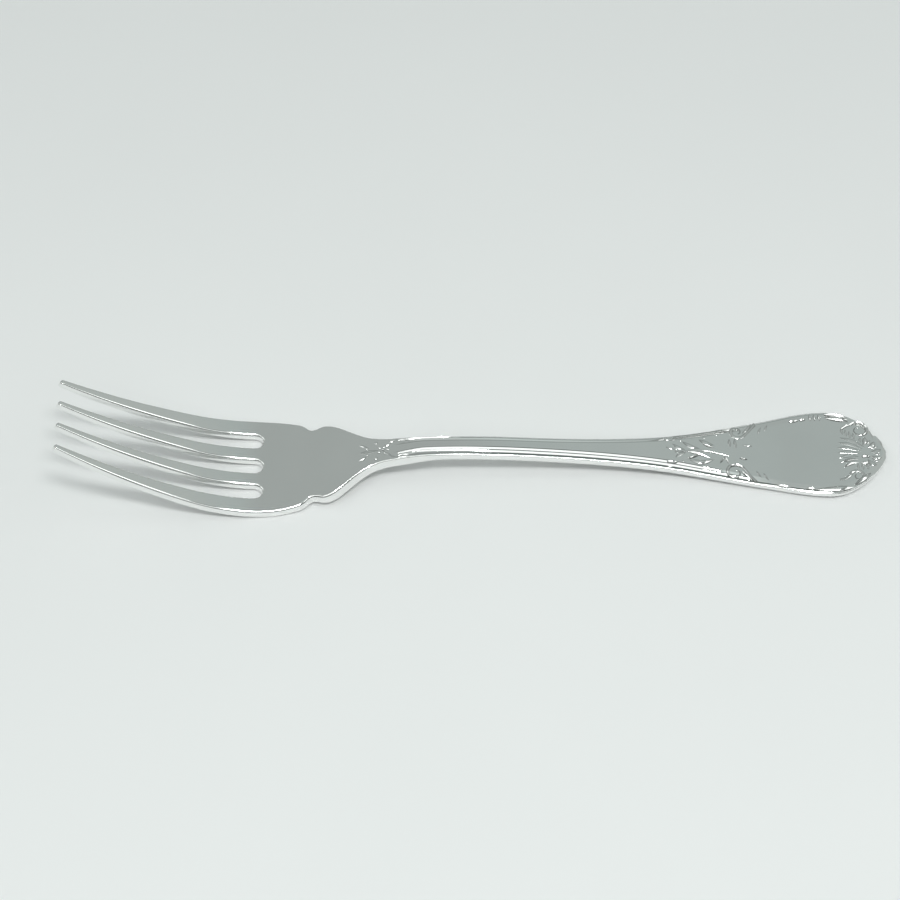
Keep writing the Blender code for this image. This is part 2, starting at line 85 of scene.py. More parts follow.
# Thicknesses
TIP_THICKNESS = 1.6
TIP_LEFT = 0.35  # share of the thickness that is left at the very tip
PALM_THICKNESS = 2.0
STEM_DEPTH = 2.7
STEM_CROWN = 0.85
HANDLE_DEPTH = 2.0
HANDLE_CROWN = 0.3
TOP_EDGE = 0.28  # radius of the upper edges at the tips and from the neck on
PALM_EDGE = 0.55  # the same at the palm
BACK_EDGE = 0.5  # radius of the lower edges
FLAT_MARGIN = 0.15  # the upper faces are flat from this far inside their rounded or threaded edges
STEM_ROUNDING = 1.8  # radius of the back
HANDLE_ROUNDING = 1.6
ROUNDING_LEAD = 12.0  # length from the neck over which the back becomes round
END_ROUNDING = 1.3  # length over which the upper face rounds off at the handle's end
END_DROP = 0.7
SHARP_ANGLE = math.radians(40.0)  # edges that turn by more are shaded sharp

# Threads: three steps along each edge of the stem and handle, each a slope with a groove beside it
THREADS = 3
THREAD_WIDTH = 0.6
THREAD_SLOPE = 0.48  # share of a thread's width that slopes; the rest is its groove
THREAD_HEIGHT = 0.19  # what the threads gain where the field beside them lies low
THREAD_LEAD = 2.0  # length from the neck over which they rise
THREAD_FADE = 3.0  # length over which they fade at their ends
FRAME_RUN = 3.0  # how far the outer thread runs past the handle's widest place
SCROLL_RUN = 4.3  # how far the middle one runs past the eye of the scroll at the oval's foot
THREAD_LIP = 0.1  # how far a thread stands over its groove, as a share of its step
FAR_LIP = 0.4  # the same for the middle thread of the stem's far edge
NECK_LIP = 0.6  # the same for the outer thread of the far edge, by the neck
NECK_BOW = 0.4  # how much steeper than even the groove of that edge's outer thread begins
NECK_FADING = (10.0, 18.0)  # where that lip begins to fade and is gone, from the neck
FAR_THREADS = 0.3  # share of their height and of their painted shade that the far edge's threads have
FAR_BEAD = 0.29  # height of the two beads along the far edge of the handle, up to its scroll
BEADING = (-2.0, 6.0)  # where the far threads begin to turn into beads and have done so, from the foot
MERGED_THREADS = (15.0, 22.0)  # where the inner two near threads begin to part and are apart, from the neck
MERGED_HOLLOW = 0.4  # share of the painted shade that their grooves have before that
CROWN_LEAD = 7.0  # length from the neck over which the field between the threads rises

# Side profile: how far its curves reach past the marks of the outline, and the angles they turn
BOWL_AHEAD = 12.4  # into the tines, from the roots
BOWL_BEHIND = 5.0  # into the shoulder, from the notches
CREST_BEHIND = 9.4  # into the stem, from the neck
FALL_LENGTH = 18.0
TINE_BEND = math.radians(12.0)
BOWL_BEND = math.radians(41.7)
CREST_BEND = math.radians(17.5)
FALL_BEND = math.radians(5.803)

# Ornament; a setback is measured from the handle's end or foot, an inset from its edge
SHELL_SETBACK = 0.6  # the point that the shell's rays run from
SHELL_OFFSET = -1.7
SHELL_INNER = 5.6  # the two ends of the middle ray, from that point
SHELL_OUTER = 10.4
SHELL_RAYS = 7
SHELL_SPREAD = math.radians(48.0)
SHELL_TURN = math.radians(171.0)  # heading of the middle ray
RAY_WIDTH = 0.9
RAY_HEIGHT = 0.13
RAY_RISE = 0.2  # how much higher the nearest rays stand
RAY_SWAY = 0.03  # angle by which a ray winds
PETAL_SETBACK = 5.1
PETAL_OFFSET = -2.5
PETAL_REACH = 0.9  # half of a petal's length
PETAL_WIDTH = 1.1
PETAL_HEIGHT = 0.42
LOBE_RING_SETBACK = 6.0
LOBE_RING_OFFSET = -0.6
LOBE_INNER = 2.4
LOBE_OUTER = 4.8
LOBE_BREADTH = 1.2
LOBE_HEIGHT = 0.32
LOBE_PITCH = 30  # degrees from one lobe to the next
BASE_SCROLL_SETBACK = 17.6
BASE_SCROLL_INSET = 2.1
BASE_SCROLL_RADIUS = 2.3
FAR_BASE_SHIFT = 1.5  # the far scroll at the oval's foot lies this much nearer the end
FAR_BASE_SIZE = 0.8  # and is smaller
FAR_SCROLL_SETBACK = 5.4
FAR_SCROLL_INSET = 3.0
FAR_SCROLL_RADIUS = 2.4
NEAR_SCROLL_SETBACK = 7.3
NEAR_SCROLL_INSET = 2.6
NEAR_SCROLL_RADIUS = 1.7
SCROLL_TURN = math.radians(400.0)
SCROLL_WIDTH = 0.8
SCROLL_HEIGHT = 0.4
NEAR_SCROLL_HEIGHT = 0.24
VOLUTE = 0.7  # share of its radius that a scroll winds in
FLUTE_WIDTH = 0.6
FLUTE_HEIGHT = 0.35  # of the high flutes on the far side
BEAD_WIDTH = 0.8
BEAD_HEIGHT = 0.35
FAR_LEAF_HEIGHT = 0.55
LOW_RELIEF = 0.17
LEAF_HEIGHT = 0.36
FLOWER_PETALS = 5
SINK = 0.4  # how far the ornament's skins reach into the metal under them

MM_PER_METRE = 1000.0

# Spacing of the surfaces' points
ROW = 0.4
EDGE_STEP = 0.3
THREAD_POINTS = 12
EDGE_POINTS = 6  # round an edge
BACK_POINTS = 9  # round each side of the back
SLOT_POINTS = 25  # round the end of a slot
VOLUTE_POINTS = 20
TIP_RINGS = np.radians(np.linspace(8.0, 80.0, 10))  # angles round the end of a tine
OVAL_RINGS = np.radians(np.linspace(0.0, 88.8, 60))  # and round the end of the handle
WELD = 1e-3  # points closer than this become one

# Camera, as the photograph gives it
CAMERA_ELEVATION = math.radians(50.0)
CAMERA_YAW = math.radians(1.8)
CAMERA_DISTANCE = 0.52
CAMERA_TARGET = Vector((-0.0061, 0.0, 0.006))
LENS = 95.0
SENSOR = 36.0

# Lamps: name, place, target, width, length and power
LAMP_COLOUR = (0.97, 1.0, 0.985)
LAMPS = [
    ("key", (0.12, -0.4, 0.88), (0.12, 0.0, 0.0), 0.2, 0.14, 3.1),
    ("strip", (-0.315, -0.33, 0.9), (-0.315, 0.0, 0.0), 1.17, 0.2, 2.0),
    ("front", (0.0, -0.863, 0.834), (0.0, 0.0, 0.0), 1.2, 0.46, 1.8),
    ("right", (0.623, -0.145, 0.714), (0.0, 0.0, 0.0), 0.65, 0.28, 0.85),
    ("left", (-0.68, 0.17, 0.62), (0.0, 0.0, 0.0), 0.7, 0.36, 0.65),
]

# The room's tones, from its left to its right, and its shades: axis, two places on it and the levels there
ROOM_LEFT = (0.05, (0.36, 0.392, 0.381, 1.0))
ROOM_MIDDLE = (0.2, (0.385, 0.433, 0.421, 1.0))
ROOM_RIGHT = (0.55, (0.425, 0.462, 0.446, 1.0))
ROOM_SHADES = [
    ("Y", -0.35, 0.1, 0.4, 1.0),  # dimmer behind the camera, which looks to +Y
    ("Z", 0.0, 0.4, 0.7, 1.0),  # dimmer near the floor
    ("Z", 0.93, 0.98, 1.0, 1.6),  # brighter overhead
]

# Materials: the darkest and lightest tone of each, and how its texture repeats in a metre
SILVER_TONES = [(0.88, 0.885, 0.875, 1.0), (0.95, 0.95, 0.94, 1.0)]
SILVER_CLOUDS = 90.0
SILVER_ROUGHNESS = (0.06, 0.13)
# Hollows of the threads and the relief are painted darker: painted shade and dark reflection, and some
# tarnish
SHADE_AND_TARNISH_TONE = (0.16, 0.17, 0.165, 1.0)
POLISHED_SHADE = 0.9  # share of the painted shade and tarnish tone in the deepest hollows
STRUCK_SHADE = 0.55
POLISHING_MARKS = (120.0, 2600.0, 2600.0)
MARK_STRENGTH = 0.05
MARK_DEPTH = 0.00003  # in metres
TABLE_TONES = [(0.82, 0.823, 0.825, 1.0), (0.85, 0.853, 0.855, 1.0)]
TABLE_CLOUDS = 14.0
TABLE_ROUGHNESS = 0.55
TABLE_REACH = 2.0  # half of its width, in metres

# Stations of the blank
ROOT = TINE_LENGTH
NOTCH = ROOT + PALM_LENGTH
NECK = NOTCH + SHOULDER_LENGTH
FOOT = NECK + STEM_LENGTH
LEVEL = FOOT + LEVEL_LENGTH
END = FOOT + HANDLE_LENGTH
WIDEST = END - HANDLE_ROUND
BORDER = TOP_EDGE + THREADS * THREAD_WIDTH

# The outline from the tine roots to the handle's widest place: station, half width and slope
OUTLINE = np.array(
    [
        (ROOT, HEAD_WIDTH / 2, 0.0),
        (NOTCH - CORNER_SETBACK, NOTCH_WIDTH / 2 + 2.5, -0.27),
        (NOTCH - 1.2, NOTCH_WIDTH / 2 + 0.65, -1.15),
        (NOTCH, NOTCH_WIDTH / 2, 0.0),
        (NOTCH + LOBE_SETBACK, LOBE_WIDTH / 2, 0.0),
        (NECK - 9.3, NECK_WIDTH / 2 + 3.65, -0.74),
        (NECK - 4.8, NECK_WIDTH / 2 + 0.95, -0.38),
        (NECK, NECK_WIDTH / 2, -0.05),
        (NECK + WAIST_SETBACK, STEM_WIDTH / 2, 0.0),
        (FOOT, FOOT_WIDTH / 2, 0.115),
        (WIDEST - 14.4, HANDLE_WIDTH / 2 - 2.6, 0.215),
        (WIDEST, HANDLE_WIDTH / 2, 0.0),
    ]
)

# Runs of the side profile: length and bend
RUNS = [
    (TINE_LENGTH - BOWL_AHEAD, TINE_BEND),
    (BOWL_AHEAD + PALM_LENGTH + BOWL_BEHIND, BOWL_BEND),
    (SHOULDER_LENGTH - BOWL_BEHIND + CREST_BEHIND, -CREST_BEND),
    (FALL_LENGTH, -FALL_BEND),
    (STEM_LENGTH - CREST_BEHIND - FALL_LENGTH, 0.0),
    (LEVEL_LENGTH, FALL_BEND),
    (HANDLE_LENGTH - LEVEL_LENGTH, 0.0),
]


def ease(station, start, end):
    """0 up to start, 1 from end on, and a smooth step between them."""
    t = np.clip((np.asarray(station, float) - start) / (end - start), 0.0, 1.0)
    return t * t * (3.0 - 2.0 * t)


def ease_over(station, mark, stretch):
    """The smooth step of a station over a stretch, given by its two ends from a mark."""
    begin, end = stretch
    return float(ease(station, mark + begin, mark + end))


def half_width(station, side):
    """Distance from the middle line of the head, stem or handle to its near (-1) or far (1) edge."""
    station = np.asarray(station, float)
    knot = np.clip(np.searchsorted(OUTLINE[:, 0], station) - 1, 0, len(OUTLINE) - 2)
    start, width, slope = OUTLINE[knot].T
    end, next_width, next_slope = OUTLINE[knot + 1].T
    length = end - start
    t = np.clip((station - start) / length, 0.0, 1.0)
    turn = slope * length * t * (1.0 - t) ** 2 - next_slope * length * t * t * (1.0 - t)
    bar = width + (next_width - width) * t * t * (3.0 - 2.0 * t) + turn
    reach = np.clip((station - WIDEST) / HANDLE_ROUND, 0.0, 1.0)
    oval = HANDLE_WIDTH / 2 * np.sqrt(1.0 - reach * reach)
    if side < 0.0:
        return np.where(station > WIDEST, oval * (1.0 - END_LEAN * reach**2), bar)
    cleft = CLEFT_DEPTH * np.exp(-(((station - END + CLEFT_SETBACK) / CLEFT_LENGTH) ** 2))
    return np.where(station > WIDEST, oval * (1.0 - END_LEAN * reach**4) - cleft, bar)


def crown(station):
    """Height of the flat field between the threads."""
    rise = STEM_CROWN * ease(station, NECK, NECK + CROWN_LEAD)
    return rise + (HANDLE_CROWN - STEM_CROWN) * ease(station, FOOT, LEVEL)


def depth(station):
    """Depth of the back of the head, stem or handle under the upper edges."""
    stem = (STEM_DEPTH - PALM_THICKNESS) * ease(station, NOTCH - DEEPENING, NOTCH + DEEPENING)
    handle = (HANDLE_DEPTH - STEM_DEPTH) * ease(station, NECK + WAIST_SETBACK, LEVEL)
    return PALM_THICKNESS + stem + handle


def upper_edge(station):
    """Radius of the upper edges of the tines and the head."""
    palm_share = ease(station, 0.0, TINE_LENGTH / 2) - ease(station, NOTCH, NECK)
    return TOP_EDGE + (PALM_EDGE - TOP_EDGE) * palm_share


def profile_runs():
    """Start station, x, z, heading and curvature of each run, in the blank's own place."""
    station, x, z = 0.0, 0.0, 0.0
    heading = CREST_BEND - TINE_BEND - BOWL_BEND
    table = []
    for length, bend in RUNS:
        curvature = bend / length if bend else 1e-10
        table.append((station, x, z, heading, curvature))
        turned = heading + curvature * length
        x += (math.sin(turned) - math.sin(heading)) / curvature
        z += (math.cos(heading) - math.cos(turned)) / curvature
        station += length
        heading = turned
    return np.array(table)


def bend_blank(flat):
    """Points of the flat blank on the side profile, in millimetres."""
    station, y, height = flat.T
    run = np.clip(np.searchsorted(PROFILE[:, 0], station, side="right") - 1, 0, len(PROFILE) - 1)
    start, x, z, heading, curvature = PROFILE[run].T
    turned = heading + curvature * (station - start)
    x = x + (np.sin(turned) - np.sin(heading)) / curvature - height * np.sin(turned)
    z = z + (np.cos(heading) - np.cos(turned)) / curvature + height * np.cos(turned)
    return np.stack([x, y, z], axis=1)


PROFILE = profile_runs()
handle_low, handle_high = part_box("handle")
end_x, _, end_z = bend_blank(np.array([[END, 0.0, 0.0]]))[0] / MM_PER_METRE
handle_top = handle_low.z + HANDLE_DEPTH / MM_PER_METRE
TO_FRAME = np.array([handle_high.x - end_x, 0.0, handle_top - end_z])


def press(flat):
    """Points of the flat blank on the fork, in the frame."""
    return bend_blank(np.asarray(flat, float)) / MM_PER_METRE + TO_FRAME


def spaced(start, end, step):
    """Evenly spaced values from start to end, no further apart than step."""
    return np.linspace(start, end, max(2, math.ceil(abs(end - start) / step) + 1))


def edge_profile(thickness, top_edge):
    """The (inset, height) points of a side wall, from the upper face round its edges to the back."""
    angle = np.linspace(0.0, math.pi / 2, EDGE_POINTS)
    inset = np.concatenate([top_edge * (1.0 - np.sin(angle)), BACK_EDGE * (1.0 - np.cos(angle))])
    upper = -top_edge * (1.0 - np.cos(angle))
    lower = BACK_EDGE * (1.0 - np.sin(angle)) - thickness
    return inset, np.concatenate([upper, lower])


class Shape:
    """The points and faces of one piece, gathered from closed skins."""

    def __init__(self):
        self.points = []
        self.faces = []
        self.hollow = []
        self.count = 0

    def skin(self, rings, hollow=0.0):
        """Adds a closed skin through rings of points, with a cap on each end.

        hollow says how deep each point lies between the ornament's crests, from 0 to 1; the silver is
        painted darker there, with shade and dark reflection, and some tarnish.
        """
        rows, columns, _ = rings.shape
        index = self.count + np.arange(rows * columns).reshape(rows, columns)
        beside = np.roll(index, -1, axis=1)
        quads = np.stack([index[:-1], beside[:-1], beside[1:], index[1:]], axis=-1)
        self.faces += quads.reshape(-1, 4).tolist()
        self.faces += [index[0].tolist(), index[-1].tolist()]
        self.points.append(rings.reshape(-1, 3))
        self.hollow.append(np.broadcast_to(hollow, (rows, columns)).reshape(-1))
        self.count += rows * columns

    def finish(self, name, material, slot):
        """Makes the piece, which takes the place of the CAD node of its name."""
        mesh = bpy.data.meshes.new(name)
        mesh.from_pydata(press(np.concatenate(self.points)), [], self.faces)
        attribute = mesh.attributes.new("hollow", "FLOAT", "POINT")
        attribute.data.foreach_set("value", np.concatenate(self.hollow).astype(np.float32))
        add_piece(name, mesh, material)


def add_piece(node, mesh, material):
    """Shows a mesh in place of a CAD node, shaded smooth except at sharp edges."""
    skin = bmesh.new()
    skin.from_mesh(mesh)
    bmesh.ops.recalc_face_normals(skin, faces=skin.faces)
    skin.to_mesh(mesh)
    skin.free()
    mesh.shade_smooth()
    mesh.set_sharp_from_angle(angle=SHARP_ANGLE)
    mesh.materials.append(material)
    piece = bpy.data.objects.new(node + "_silver", mesh)
    bpy.context.scene.collection.objects.link(piece)
    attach(piece, "root")
    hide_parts(node)


def tine_sides():
    """The two edges of each tine at its root, from the near side, and the middles of the slots."""
    pitch = SLOT_WIDTH + INNER_TINE_WIDTH
    slots = [-pitch, 0.0, pitch]
    lows = [-HEAD_WIDTH / 2] + [slot + SLOT_WIDTH / 2 for slot in slots]
    highs = [slot - SLOT_WIDTH / 2 for slot in slots] + [HEAD_WIDTH / 2]
    return list(zip(lows, highs)), slots


def tine(index, low, high):
    """One tine, narrowing and thinning to a rounded tip."""
    tip = (index - 1.5) * TIP_PITCH
    tip_radius = TIP_WIDTH / 2
    stations = tip_radius * (1.0 - np.cos(TIP_RINGS))
    stations = np.concatenate([stations, spaced(tip_radius, ROOT, ROW)])
    shape = Shape()
    rings = []
    for station in stations:
        narrowing = (1.0 - station / ROOT) ** TINE_TAPER
        start = low + (tip - tip_radius - low) * narrowing
        end = high + (tip + tip_radius - high) * narrowing
        thickness = PALM_THICKNESS + (TIP_THICKNESS - PALM_THICKNESS) * (1.0 - station / ROOT) ** 2
        inset, height = edge_profile(thickness, upper_edge(station))
        blunt = math.sqrt(1.0 - max(1.0 - station / tip_radius, 0.0) ** 2)
        across = np.concatenate([start + inset[::-1], end - inset])
        level = np.concatenate([height[::-1], height])
        middle = (start + end) / 2
        across = middle + (across - middle) * blunt
        level = -thickness / 2 + (level + thickness / 2) * (TIP_LEFT + (1.0 - TIP_LEFT) * blunt)
        rings.append(np.stack([np.full(len(across), station), across, level], axis=1))
    shape.skin(np.array(rings))
    return shape


def head_outline(slots):
    """The head's outline in the flat, from its neck along the far edge, round the slots and back."""
    edge = np.concatenate(
        [
            spaced(NECK, NOTCH + LOBE_SETBACK, EDGE_STEP),
            spaced(NOTCH + LOBE_SETBACK, NOTCH - CORNER_SETBACK, EDGE_STEP / 2)[1:],
            spaced(NOTCH - CORNER_SETBACK, ROOT, EDGE_STEP)[1:],
        ]
    )
    far = np.stack([edge, half_width(edge, 1.0)], axis=1)
    points = [far]
    turn = np.linspace(math.pi / 2, -math.pi / 2, SLOT_POINTS)
    centre = ROOT + SLOT_RUN - SLOT_WIDTH / 2
    straight = spaced(ROOT, centre, EDGE_STEP)[:-1]
    for slot in reversed(slots):
        points.append(np.stack([straight, np.full(len(straight), slot + SLOT_WIDTH / 2)], axis=1))
        arc = [centre + SLOT_WIDTH / 2 * np.cos(turn), slot + SLOT_WIDTH / 2 * np.sin(turn)]
        points.append(np.stack(arc, axis=1))
        points.append(np.stack([straight[::-1], np.full(len(straight), slot - SLOT_WIDTH / 2)], axis=1))
    points.append(far[::-1] * (1.0, -1.0))
    return np.concatenate(points)


def head(slots):
    """The head's mesh: a plate with rounded edges and flat ends at the tine roots and the neck."""
    outline = head_outline(slots)
    along = np.roll(outline, -1, axis=0) - np.roll(outline, 1, axis=0)
    along /= np.linalg.norm(along, axis=1)[:, None]
    inward = np.stack([-along[:, 1], along[:, 0]], axis=1)
    corner = np.isclose(outline[:, 0], ROOT) | np.isclose(outline[:, 0], NECK)
    inward[corner, 0] = 0.0
    inward[corner, 1] = np.sign(inward[corner, 1])
    edges = [edge_profile(PALM_THICKNESS, upper_edge(station)) for station in outline[:, 0]]
    insets, heights = np.array(edges).transpose(1, 2, 0)
    insets = np.concatenate([insets[:1] + FLAT_MARGIN, insets])
    heights = np.concatenate([heights[:1], heights])

    plate = bmesh.new()
    rings = []
    for inset, height in zip(insets, heights):
        ring = np.column_stack([outline + inward * inset[:, None], height])
        rings.append([plate.verts.new(point) for point in ring])
    for ring, below in zip(rings, rings[1:]):
        for i in range(len(ring)):
            plate.faces.new((ring[i - 1], ring[i], below[i], below[i - 1]))
    faces = [plate.faces.new(rings[0]), plate.faces.new(rings[-1])]
    plate.normal_update()
    bmesh.ops.triangulate(plate, faces=faces)
    for station in spaced(ROOT, NECK, ROW)[1:-1]:
        geometry = plate.verts[:] + plate.edges[:] + plate.faces[:]
        place, along = (station, 0, 0), (1, 0, 0)
        bmesh.ops.bisect_plane(plate, geom=geometry, dist=WELD, plane_co=place, plane_no=along)

    flat = np.array([vert.co for vert in plate.verts])
    flat[:, 2] *= depth(flat[:, 0]) / PALM_THICKNESS
    for vert, place in zip(plate.verts, press(flat)):
        vert.co = place
    mesh = bpy.data.meshes.new("head")
    plate.to_mesh(mesh)
    plate.free()
    return mesh


def base_scroll_place(side):
    """Station of the eye and radius of the scroll at the oval's foot."""
    eye = FOOT + BASE_SCROLL_SETBACK
    if side < 0.0:
        return eye, BASE_SCROLL_RADIUS
    return eye + FAR_BASE_SHIFT, BASE_SCROLL_RADIUS * FAR_BASE_SIZE


def threads(station, side):
    """Place, height and hollow of the points across the threads, from the edge to the field.

    The near edge stands as high as the first groove beside it. The far edge lies lower, at the foot of its
    outer thread. By the neck, the slopes of the inner two near threads lie close together, and the outer
    far thread stands high. Along the handle, the outer two far threads are beads.
    """
    share = np.linspace(0.0, THREADS, THREADS * THREAD_POINTS + 1)
    thread = np.minimum(share.astype(int), THREADS - 1)
    across = share - thread
    merging = (1.0 - ease_over(station, NECK, MERGED_THREADS)) * (side < 0.0)
    slope_place = across - (1.0 - THREAD_SLOPE) * merging * (thread == 1)
    groove = np.maximum(slope_place - THREAD_SLOPE, 0.0) / (1.0 - THREAD_SLOPE)
    step = np.clip(slope_place / THREAD_SLOPE, 0.0, 1.0)
    if side < 0.0:
        groove = np.where(thread == 0, across, groove)
        step = np.where(thread == 0, 1.0, step)

    eye, radius = base_scroll_place(side)
    ends = np.array([WIDEST + FRAME_RUN, eye + SCROLL_RUN, eye - radius])[thread]
    present = ease(station, NECK, NECK + THREAD_LEAD) * (1.0 - ease(station, ends - THREAD_FADE, ends))
    crest = THREAD_HEIGHT * present * (1.0 - float(crown(station)) / STEM_CROWN)
    # the grooves are painted darker: painted shade and dark reflection, and some tarnish
    hollow = present * np.sin(math.pi * groove) * (1.0 + (MERGED_HOLLOW - 1.0) * merging)
    lip = THREAD_LIP
    fall = groove
    if side > 0.0:
        fall = groove * (1.0 + NECK_BOW * (1.0 - groove) * (thread == 0))
        fading = ease_over(station, NECK, NECK_FADING)
        beading = ease_over(station, FOOT, BEADING)
        lip = np.choose(thread, (NECK_LIP * (1.0 - fading), FAR_LIP * (1.0 - beading), THREAD_LIP))
        crest = crest * np.where(thread == 0, 1.0 + (FAR_THREADS - 1.0) * fading, FAR_THREADS)
        bead = FAR_BEAD * beading * float(1.0 - ease(station, eye - THREAD_FADE, eye))
        crest = crest + bead * (thread < 2)
        # painted shade: less on the far edge, whose grooves face the light, and none in its middle groove
        hollow = hollow * np.where(thread == 1, 0.0, FAR_THREADS)
    step = step * (1.0 + lip) - lip * fall
    slope = thread + across + (step - across) * present
    height = float(crown(station)) * slope / THREADS + crest * np.sin(math.pi * across)
    return share, height, hollow


def end_share(station, reach):
    """1 up to reach before the handle's end, falling to 0 at the end along a quarter of an oval."""
    left = min((END - station) / reach, 1.0)
    return math.sqrt(1.0 - (1.0 - left) ** 2)


def bar_side(station, side):
    """Place across, height and hollow of the points of one side of a bar, from its back to its field."""
    width = float(half_width(station, side))
    rounding_share = float(ease(station, NECK, NECK + ROUNDING_LEAD))
    rounding = BACK_EDGE + (STEM_ROUNDING - BACK_EDGE) * rounding_share
    rounding += (HANDLE_ROUNDING - STEM_ROUNDING) * float(ease(station, FOOT, LEVEL))
    rounding = min(rounding, 0.95 * width)
    drop = END_DROP * (1.0 - end_share(station, END_ROUNDING))
    top = -TOP_EDGE - drop
    lower = (float(depth(station)) + top) * end_share(station, HANDLE_ROUNDING)
    straight = (lower - BACK_EDGE) * (1.0 - rounding_share)
    angle = np.linspace(math.pi / 2, 0.0, BACK_POINTS)[:-1]
    wall = [rounding * (1.0 - np.cos(angle)), top - straight - (lower - straight) * np.sin(angle)]

    share, level, hollow = threads(station, side)
    level = level - drop
    shrink = min(1.0, width / (1.2 * BORDER))
    angle = np.linspace(0.0, math.pi / 2, EDGE_POINTS)[:-1]
    edge = [TOP_EDGE * (1.0 - np.cos(angle)) * shrink, level[0] - TOP_EDGE * (1.0 - np.sin(angle))]

    inset = np.concatenate([wall[0], edge[0], (TOP_EDGE + share * THREAD_WIDTH) * shrink])
    height = np.concatenate([wall[1], edge[1], level])
    plain = np.zeros(len(wall[0]) + len(edge[0]))
    return side * (width - inset), height, np.concatenate([plain, hollow])


def bar(stations):
    """The stem or handle through these stations."""
    rings, hollows = [], []
    for station in stations:
        near, near_level, near_hollow = bar_side(station, -1.0)
        far, far_level, far_hollow = bar_side(station, 1.0)
        margin = min(FLAT_MARGIN, far[-1] / 2)
        field = [near[-1] + margin, 0.0, far[-1] - margin]
        across = np.concatenate([near, field, far[::-1]])
        level = np.concatenate([near_level, np.full(len(field), near_level[-1]), far_level[::-1]])
        rings.append(np.stack([np.full(len(across), station), across, level], axis=1))
        hollows.append(np.concatenate([near_hollow, np.zeros(len(field)), far_hollow[::-1]]))
    shape = Shape()
    shape.skin(np.array(rings), np.array(hollows))
    return shape


def smooth_path(points, count):
    """count points on a smooth curve through the given ones."""
    points = np.asarray(points, float)
    padded = np.concatenate([[2 * points[0] - points[1]], points, [2 * points[-1] - points[-2]]])
    place = np.linspace(0.0, len(points) - 1.0, count)
    span = np.minimum(place.astype(int), len(points) - 2)
    t = (place - span)[:, None]
    a, b, c, d = (padded[span + i] for i in range(4))
    square = 2 * a - 5 * b + 4 * c - d
    cube = 3 * b - a - 3 * c + d
    return 0.5 * (2 * b + (c - a) * t + square * t**2 + cube * t**3)


# Cross-sections of a stroke: places across its half width, and the heights of a round one and a ridged one
ACROSS = np.linspace(-1.0, 1.0, 13)
BEAD = np.sqrt(1.0 - ACROSS**2)
RIDGE = 0.6 * BEAD + 0.4 * (1.0 - np.abs(ACROSS)) ** 1.5


def leaf_taper(t):
    """Narrow at the root, widest past the middle, pointed at the tip."""
    return 0.06 + 0.94 * np.sin(math.pi * t**1.15) ** 0.9


def oval_taper(t):
    """Round at both ends."""
    return 0.05 + 0.95 * np.sqrt(np.maximum(1.0 - (2.0 * t - 1.0) ** 2, 0.0))


def ribbon_taper(t):
    """Narrower at the tail, full along the back of the scroll and fine at its eye."""
    return (0.8 + 0.2 * ease(t, 0.0, 0.2)) * (1.0 - 0.6 * ease(t, 0.35, 0.85))


def even_taper(t):
    """Nearly even, half as wide at both ends."""
    return 1.0 - 0.5 * (2.0 * t - 1.0) ** 4


def stroke(shape, points, width, height, section=RIDGE, taper=leaf_taper, count=26, fall=1.0):
    """Adds one struck form that follows a path on the upper face and stands on it.

    Its height is that of its full width, and goes down with the width by the power fall.
    """
    path = smooth_path(points, count)
    t = np.linspace(0.0, 1.0, count)
    along = np.gradient(path, axis=0)
    along /= np.linalg.norm(along, axis=1)[:, None]
    aside = np.stack([-along[:, 1], along[:, 0]], axis=1)
    size = taper(t)
    across = np.concatenate([[-1.0], ACROSS, [1.0]])
    offset = across[None, :, None] * size[:, None, None] * width / 2
    place = path[:, None, :] + aside[:, None, :] * offset
    rise = height * (size**fall)[:, None] * section[None, :]
    base = np.full((count, 1), -SINK)
    level = np.concatenate([base, rise, base], axis=1) + crown(place[..., 0])
    # the feet of the struck forms are painted darker: painted shade and dark reflection, and some tarnish
    hollow = np.clip(1.0 - rise / height, 0.0, 1.0)
    hollow = np.concatenate([np.ones((count, 1)), hollow, np.ones((count, 1))], axis=1)
    shape.skin(np.concatenate([place, level[..., None]], axis=2), hollow)


def pearl(shape, centre, radius, height):
    """Adds a round boss."""
    x, y = centre
    stroke(shape, [(x - radius, y), (x, y), (x + radius, y)], 2 * radius, height, BEAD, oval_taper, 14)


def polar(centre, angle, distance):
    """The point at an angle and a distance from a centre."""
    return centre[0] + distance * math.cos(angle), centre[1] + distance * math.sin(angle)


def leaf(shape, root, heading, bend, length, width, height=LEAF_HEIGHT, taper=leaf_taper):
    """Adds a ridged leaf, which leaves its root at a heading and turns by bend to its tip, in degrees."""
    heading, bend = math.radians(heading), math.radians(bend)
    middle = polar(root, heading + bend / 4, 0.5 * length)
    tip = polar(root, heading + bend / 2, length)
    stroke(shape, [root, middle, tip], width, height, taper=taper)


